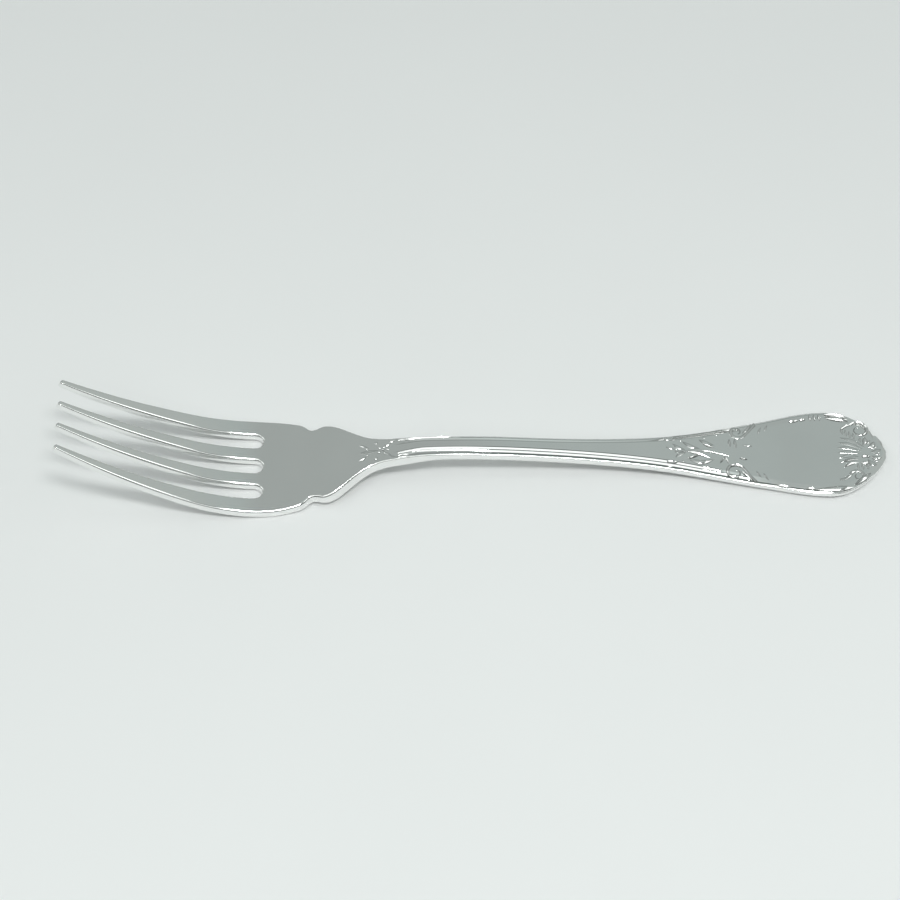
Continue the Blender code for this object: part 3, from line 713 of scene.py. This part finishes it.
def shell():
    """The shell at the end: rays towards the oval, two petals at their foot and lobes round the end."""
    shape = Shape()
    focus = (END - SHELL_SETBACK, SHELL_OFFSET)
    for share in np.linspace(-1.0, 1.0, SHELL_RAYS):
        turn = SHELL_TURN + SHELL_SPREAD / 2 * share
        inner = SHELL_INNER + 0.6 * share
        outer = SHELL_OUTER - 0.5 * share
        path = [polar(focus, turn, inner), polar(focus, turn - RAY_SWAY, (inner + outer) / 2)]
        path.append(polar(focus, turn + RAY_SWAY, outer))
        stroke(shape, path, RAY_WIDTH, RAY_HEIGHT + RAY_RISE * float(ease(share, 0.2, 0.7)))
    for side in (-1.0, 1.0):
        x, y = END - PETAL_SETBACK + 0.2 * side, PETAL_OFFSET + side
        petal = [(x + step, y - 0.3 * side * step * step) for step in (-PETAL_REACH, 0.0, PETAL_REACH)]
        stroke(shape, petal, PETAL_WIDTH, PETAL_HEIGHT, taper=oval_taper)
    middle = (END - LOBE_RING_SETBACK, LOBE_RING_OFFSET)
    heights = (LOW_RELIEF, LOBE_HEIGHT, LOW_RELIEF, LOBE_HEIGHT, LOBE_HEIGHT)
    for turn, height in zip(range(-52, 69, LOBE_PITCH), heights):
        root = polar(middle, math.radians(turn), LOBE_INNER)
        waist = polar(middle, math.radians(turn - 3), (LOBE_INNER + LOBE_OUTER) / 2)
        tip = polar(middle, math.radians(turn + 4), LOBE_OUTER)
        stroke(shape, [root, waist, tip], LOBE_BREADTH, height)
    for turn in range(-67, 84, LOBE_PITCH):
        root = polar(middle, math.radians(turn), LOBE_INNER + 0.5)
        leaf(shape, root, turn, 0.0, 1.6, FLUTE_WIDTH, LOW_RELIEF)
    return shape


def beside_edge(station, inset, side):
    """The point at an inset from the handle's edge."""
    return station, side * (float(half_width(station, side)) - inset)


def scroll(eye, inset, radius, direction, side, start, turn, tail, height=SCROLL_HEIGHT):
    """A C-scroll: a ribbon from the end of its tail into a volute.

    The tail's points and the angle at which the volute starts are measured along the fork, in the scroll's
    direction, and in from the handle's edge.
    """
    shape = Shape()
    middle = float(half_width(eye, side)) - inset
    path = list(tail)
    for share in np.linspace(0.0, 1.0, VOLUTE_POINTS):
        angle = start + turn * share
        path.append(polar((0.0, 0.0), angle, radius * (1.0 - VOLUTE * share)))
    path = [(eye + direction * ahead, side * (middle - inward)) for ahead, inward in path]
    stroke(shape, path, SCROLL_WIDTH, height, taper=ribbon_taper, count=110, fall=2.0)
    return shape


def base_scroll(side, height):
    """The scroll that opens the oval's frame, a leaf under its back and flutes behind it."""
    eye, radius = base_scroll_place(side)
    tail = [(4.3, -2.5), (3.05, -0.7)]
    start = math.radians(30.0)
    shape = scroll(eye, BASE_SCROLL_INSET, radius, 1.0, side, start, SCROLL_TURN, tail, height)
    middle = float(half_width(eye, side)) - BASE_SCROLL_INSET
    under = [(3.5, -2.4), (2.2, -0.6), (1.2, 0.4)]
    stroke(shape, [(eye + ahead, side * (middle - inward)) for ahead, inward in under], 0.7, height)
    for step in range(2):
        root = beside_edge(eye + 5.6 + 1.5 * step, 1.9 - 0.3 * step, side)
        leaf(shape, root, side * -120.0, side * 10.0, 2.1, 0.5, LOW_RELIEF)
    return shape


def edge_bead(shape, station, inset, length, side):
    """Adds a long bead that follows the handle's edge."""
    path = [beside_edge(station + step * length / 2, inset, side) for step in (-1.0, 0.0, 1.0)]
    stroke(shape, path, BEAD_WIDTH, BEAD_HEIGHT, taper=oval_taper)


def near_rim(shape):
    """Adds the long leaves and the beads along the near side of the oval's frame."""
    long_leaf = [(8.6, 0.25), (10.4, 0.8), (12.6, 1.15), (17.0, 0.9)]
    end_leaf = [(8.4, 0.9), (6.4, 1.0), (4.4, 1.0)]
    for path, width, height in ((long_leaf, 1.6, 0.5), (end_leaf, 1.3, 0.4)):
        path = [beside_edge(END - setback, inset, -1.0) for setback, inset in path]
        stroke(shape, path, width, height, count=40)
    for setback, inset, length in ((18.0, 1.0, 1.8), (23.9, 0.6, 2.8)):
        edge_bead(shape, END - setback, inset, length, -1.0)


def far_rim(shape):
    """Adds the two high leaves, the beads and the flutes along the far side of the oval's frame."""
    for inset, width in ((0.9, 1.2), (1.9, 1.5)):
        path = [beside_edge(END - setback, inset, 1.0) for setback in (7.4, 9.6, 12.6)]
        stroke(shape, path, width, FAR_LEAF_HEIGHT, count=40)
    for setback, length in ((17.6, 1.4), (19.6, 2.2)):
        edge_bead(shape, END - setback, 2.0, length, 1.0)
    for setback in (14.0, 15.0, 16.0):
        leaf(shape, beside_edge(END - setback, 0.9, 1.0), -70.0, -25.0, 1.8, 0.7, FLUTE_HEIGHT)


def near_end_scroll():
    """The low scroll at the near side of the shell, with flutes beside it and the rim leading to it."""
    tail = [(4.05, -1.0), (2.6, -0.5)]
    start = math.radians(10.0)
    place = (END - NEAR_SCROLL_SETBACK, NEAR_SCROLL_INSET, NEAR_SCROLL_RADIUS)
    shape = scroll(*place, -1.0, -1.0, start, SCROLL_TURN, tail, NEAR_SCROLL_HEIGHT)
    for step in range(3):
        root = (END - 6.9 + 0.9 * step, -3.6)
        leaf(shape, root, -95.0 + 8.0 * step, 0.0, 1.8, FLUTE_WIDTH, LOW_RELIEF)
    near_rim(shape)
    return shape


def far_end_scroll():
    """The scroll at the far side of the shell, with flutes beside it and the rim leading to it."""
    tail = [(3.9, -0.4), (2.7, -1.3)]
    start = math.radians(-45.0)
    place = (END - FAR_SCROLL_SETBACK, FAR_SCROLL_INSET, FAR_SCROLL_RADIUS)
    shape = scroll(*place, -1.0, 1.0, start, -SCROLL_TURN, tail)
    for step in range(4):
        root = (END - 9.2 + 0.8 * step, 6.8 - 0.5 * step)
        leaf(shape, root, -100.0, 20.0, 2.0, FLUTE_WIDTH, LOW_RELIEF)
    far_rim(shape)
    return shape


def leaf_spray():
    """The sprig on the handle's foot: a winding stalk with leaves, buds and berries.

    Each leaf's row gives its root, from the foot and across, its heading, bend, length and width.
    """
    shape = Shape()
    stalk = [(16.6, -1.0), (14.0, -0.2), (11.0, 0.35), (8.0, 0.2), (4.6, -0.3)]
    stroke(shape, [(FOOT + x, y) for x, y in stalk], 0.5, 0.2, BEAD, even_taper, 60)
    leaves = [
        (13.8, 1.3, 172.0, -30.0, 3.1, 0.65),
        (12.3, -1.7, 150.0, 22.0, 5.1, 0.8),
        (10.2, -0.9, 200.0, 8.0, 3.4, 0.7),
        (13.3, -2.0, 216.0, -62.0, 5.6, 1.3),
        (16.5, -3.3, 104.0, 18.0, 2.4, 0.6),
        (14.4, -3.2, 62.0, -18.0, 2.3, 0.6),
        (18.9, -1.5, 342.0, 8.0, 1.8, 0.6),
    ]
    for x, y, heading, bend, length, width in leaves:
        leaf(shape, (FOOT + x, y), heading, bend, length, width)
    low_leaves = [
        (13.6, 2.0, 168.0, -24.0, 3.6, 1.1),
        (10.3, 0.9, 172.0, -35.0, 4.2, 1.0),
        (7.0, 0.4, 168.0, -35.0, 3.2, 0.9),
        (7.2, -0.3, 196.0, 30.0, 3.0, 0.9),
        (18.4, 4.1, 266.0, 12.0, 2.8, 0.7),
        (17.2, 4.0, 262.0, 16.0, 2.4, 0.7),
        (19.9, 2.3, 352.0, -6.0, 2.4, 0.6),
    ]
    for x, y, heading, bend, length, width in low_leaves:
        leaf(shape, (FOOT + x, y), heading, bend, length, width, LOW_RELIEF)
    leaf(shape, (FOOT + 4.6, 0.3), 160.0, 0.0, 2.0, 0.5, LOW_RELIEF)
    pearl(shape, (FOOT + 4.9, 0.3), 0.3, 0.25)
    for side, height in ((-1.0, LEAF_HEIGHT), (1.0, LOW_RELIEF)):
        leaf(shape, (FOOT + 5.0, side * 3.2), 180.0, side * 6.0, 2.4, 0.8, height, oval_taper)
        for x, y, radius in ((6.2, 3.0, 0.3), (11.6, 4.1, 0.35), (14.4, 5.0, 0.35)):
            pearl(shape, (FOOT + x, side * y), radius, 0.6 * height)
    return shape


def neck_leaf():
    """The palmette on the neck: a flower, leaves towards the head and sprigs back to the threads."""
    shape = Shape()
    leaf(shape, (NECK - 3.2, 0.0), 180.0, 0.0, 4.2, 0.8, 0.1)
    for side, height in ((-1.0, 0.25), (1.0, 0.1)):
        leaf(shape, (NECK - 5.3, side * 0.9), 180.0 - side * 32.0, 0.0, 2.8, 0.6, height)
        pearl(shape, (NECK - 3.75, side * 2.2), 0.4, height)
        pearl(shape, (NECK - 5.8, side * 0.95), 0.25, 0.2)
        leaf(shape, (NECK - 1.6, side * 0.8), side * 40.0, 0.0, 1.5, 0.5, 0.3 - height)
        leaf(shape, (NECK - 0.9, side * 1.8), side * 22.0, 0.0, 1.5, 0.5, 0.3 - height)
    flower = (NECK - 2.2, 0.1)
    for turn in range(0, 360, 360 // FLOWER_PETALS):
        leaf(shape, polar(flower, math.radians(turn), 0.45), turn, 0.0, 1.0, 0.6, 0.2)
    pearl(shape, flower, 0.3, 0.25)
    return shape


def cloudy_tone(nodes, link, place, scale, detail, tones):
    """Adds a soft noise, and a tone that runs between two with it. Returns the outputs of both."""
    cloud = nodes.new("ShaderNodeTexNoise")
    cloud.inputs["Scale"].default_value = scale
    cloud.inputs["Detail"].default_value = detail
    link(place.outputs["Object"], cloud.inputs["Vector"])
    tint = nodes.new("ShaderNodeValToRGB")
    for element, tone in zip(tint.color_ramp.elements, tones):
        element.color = tone
    link(cloud.outputs["Fac"], tint.inputs["Fac"])
    return cloud.outputs["Fac"], tint.outputs["Color"]


def silver(name, hollow_shade):
    """Polished silver plate with faint polishing marks, darker in its hollows by hollow_shade: painted shade
    and dark reflection, and some tarnish.
    """
    material = bpy.data.materials.new(name)
    material.use_nodes = True
    nodes = material.node_tree.nodes
    link = material.node_tree.links.new
    shader = nodes["Principled BSDF"]
    shader.inputs["Metallic"].default_value = 1.0
    place = nodes.new("ShaderNodeTexCoord")
    cloud, tint = cloudy_tone(nodes, link, place, SILVER_CLOUDS, 4.0, SILVER_TONES)

    # painted shade and some tarnish: the hollow attribute mixes the dark tone into the silver's colour
    hollow = nodes.new("ShaderNodeAttribute")
    hollow.attribute_name = "hollow"
    shade = nodes.new("ShaderNodeMath")
    shade.operation = "MULTIPLY"
    shade.inputs[1].default_value = hollow_shade
    link(hollow.outputs["Fac"], shade.inputs[0])
    darken = nodes.new("ShaderNodeMix")
    darken.data_type = "RGBA"
    darken.inputs["B"].default_value = SHADE_AND_TARNISH_TONE
    link(shade.outputs[0], darken.inputs["Factor"])
    link(tint, darken.inputs["A"])
    link(darken.outputs["Result"], shader.inputs["Base Color"])

    gloss = nodes.new("ShaderNodeMapRange")
    gloss.inputs["To Min"].default_value, gloss.inputs["To Max"].default_value = SILVER_ROUGHNESS
    link(cloud, gloss.inputs["Value"])
    link(gloss.outputs["Result"], shader.inputs["Roughness"])

    stretch = nodes.new("ShaderNodeMapping")
    stretch.inputs["Scale"].default_value = POLISHING_MARKS
    link(place.outputs["Object"], stretch.inputs["Vector"])
    marks = nodes.new("ShaderNodeTexNoise")
    marks.inputs["Scale"].default_value = 1.0
    marks.inputs["Detail"].default_value = 3.0
    link(stretch.outputs["Vector"], marks.inputs["Vector"])
    bump = nodes.new("ShaderNodeBump")
    bump.inputs["Strength"].default_value = MARK_STRENGTH
    bump.inputs["Distance"].default_value = MARK_DEPTH
    link(marks.outputs["Fac"], bump.inputs["Height"])
    link(bump.outputs["Normal"], shader.inputs["Normal"])
    return material


def table_top():
    """The pale table, with the faintest unevenness of tone."""
    mesh = bpy.data.meshes.new("table")
    corners = [(-1, -1), (1, -1), (1, 1), (-1, 1)]
    mesh.from_pydata([(x * TABLE_REACH, y * TABLE_REACH, 0.0) for x, y in corners], [], [(0, 1, 2, 3)])
    material = bpy.data.materials.new("table_white")
    material.use_nodes = True
    nodes = material.node_tree.nodes
    link = material.node_tree.links.new
    shader = nodes["Principled BSDF"]
    shader.inputs["Roughness"].default_value = TABLE_ROUGHNESS
    place = nodes.new("ShaderNodeTexCoord")
    _, tint = cloudy_tone(nodes, link, place, TABLE_CLOUDS, 5.0, TABLE_TONES)
    link(tint, shader.inputs["Base Color"])
    mesh.materials.append(material)
    floor = bpy.data.objects.new("table", mesh)
    bpy.context.scene.collection.objects.link(floor)


def aim(thing, place, target):
    """Puts a camera or lamp at a place, facing a target."""
    thing.location = place
    thing.rotation_euler = (target - place).to_track_quat("-Z", "Y").to_euler()
    bpy.context.scene.collection.objects.link(thing)


def photo_camera():
    """The camera at the photograph's viewing angle."""
    forward = Vector(
        (
            math.sin(CAMERA_YAW) * math.cos(CAMERA_ELEVATION),
            math.cos(CAMERA_YAW) * math.cos(CAMERA_ELEVATION),
            -math.sin(CAMERA_ELEVATION),
        )
    )
    camera = bpy.data.objects.new("camera", bpy.data.cameras.new("camera"))
    camera.data.lens = LENS
    camera.data.sensor_width = SENSOR
    camera.data.sensor_fit = "HORIZONTAL"
    camera.data.clip_start = 0.01
    aim(camera, CAMERA_TARGET - forward * CAMERA_DISTANCE, CAMERA_TARGET)
    return camera


def softbox(name, place, target, width, length, power):
    """Adds a soft, evenly lit rectangle that faces a target."""
    lamp = bpy.data.lights.new(name, "AREA")
    lamp.shape = "RECTANGLE"
    lamp.size = width
    lamp.size_y = length
    lamp.energy = power
    lamp.color = LAMP_COLOUR
    aim(bpy.data.objects.new(name, lamp), Vector(place), Vector(target))


def room():
    """The grey room: lighter to the right and overhead, dimmer near the floor and behind the camera."""
    world = bpy.data.worlds.new("room")
    world.use_nodes = True
    nodes = world.node_tree.nodes
    link = world.node_tree.links.new
    shader = nodes["Background"]
    direction = nodes.new("ShaderNodeTexCoord")
    axes = nodes.new("ShaderNodeSeparateXYZ")
    link(direction.outputs["Generated"], axes.inputs["Vector"])

    wall = nodes.new("ShaderNodeValToRGB")
    left, right = wall.color_ramp.elements
    left.position, left.color = ROOM_LEFT
    right.position, right.color = ROOM_RIGHT
    position, colour = ROOM_MIDDLE
    wall.color_ramp.elements.new(position).color = colour
    link(axes.outputs["X"], wall.inputs["Fac"])
    link(wall.outputs["Color"], shader.inputs["Color"])

    level = None
    for axis, *limits in ROOM_SHADES:
        shade = nodes.new("ShaderNodeMapRange")
        for socket, value in zip(("From Min", "From Max", "To Min", "To Max"), limits):
            shade.inputs[socket].default_value = value
        link(axes.outputs[axis], shade.inputs["Value"])
        if level is None:
            level = shade.outputs["Result"]
            continue
        product = nodes.new("ShaderNodeMath")
        product.operation = "MULTIPLY"
        link(level, product.inputs[0])
        link(shade.outputs["Result"], product.inputs[1])
        level = product.outputs["Value"]
    link(level, shader.inputs["Strength"])
    return world


polished = silver("polished_silver", POLISHED_SHADE)
struck = silver("struck_silver", STRUCK_SHADE)

sides, slot_middles = tine_sides()
for number, (low, high) in enumerate(sides):
    node = f"tine_{number + 1}"
    tine(number, low, high).finish(node, polished, "polished_silver")
add_piece("head", head(slot_middles), polished)

bar(spaced(NECK, FOOT, ROW)).finish("stem", polished, "polished_silver")
oval_end = WIDEST + HANDLE_ROUND * np.sin(OVAL_RINGS)
handle_stations = np.concatenate([spaced(FOOT, WIDEST, ROW), oval_end[1:]])
bar(handle_stations).finish("handle", polished, "polished_silver")

ornament = {
    "shell": shell(),
    "leaf_spray": leaf_spray(),
    "neck_leaf": neck_leaf(),
    "scroll_base_near": base_scroll(-1.0, SCROLL_HEIGHT),
    "scroll_base_far": base_scroll(1.0, LOW_RELIEF),
    "scroll_end_near": near_end_scroll(),
    "scroll_end_far": far_end_scroll(),
}
for node, shape in ornament.items():
    shape.finish(node, struck, "struck_silver")

table_top()

scene = bpy.context.scene
scene.camera = photo_camera()
scene.view_settings.view_transform = "Standard"

scene.world = room()
for lamp in LAMPS:
    softbox(*lamp)
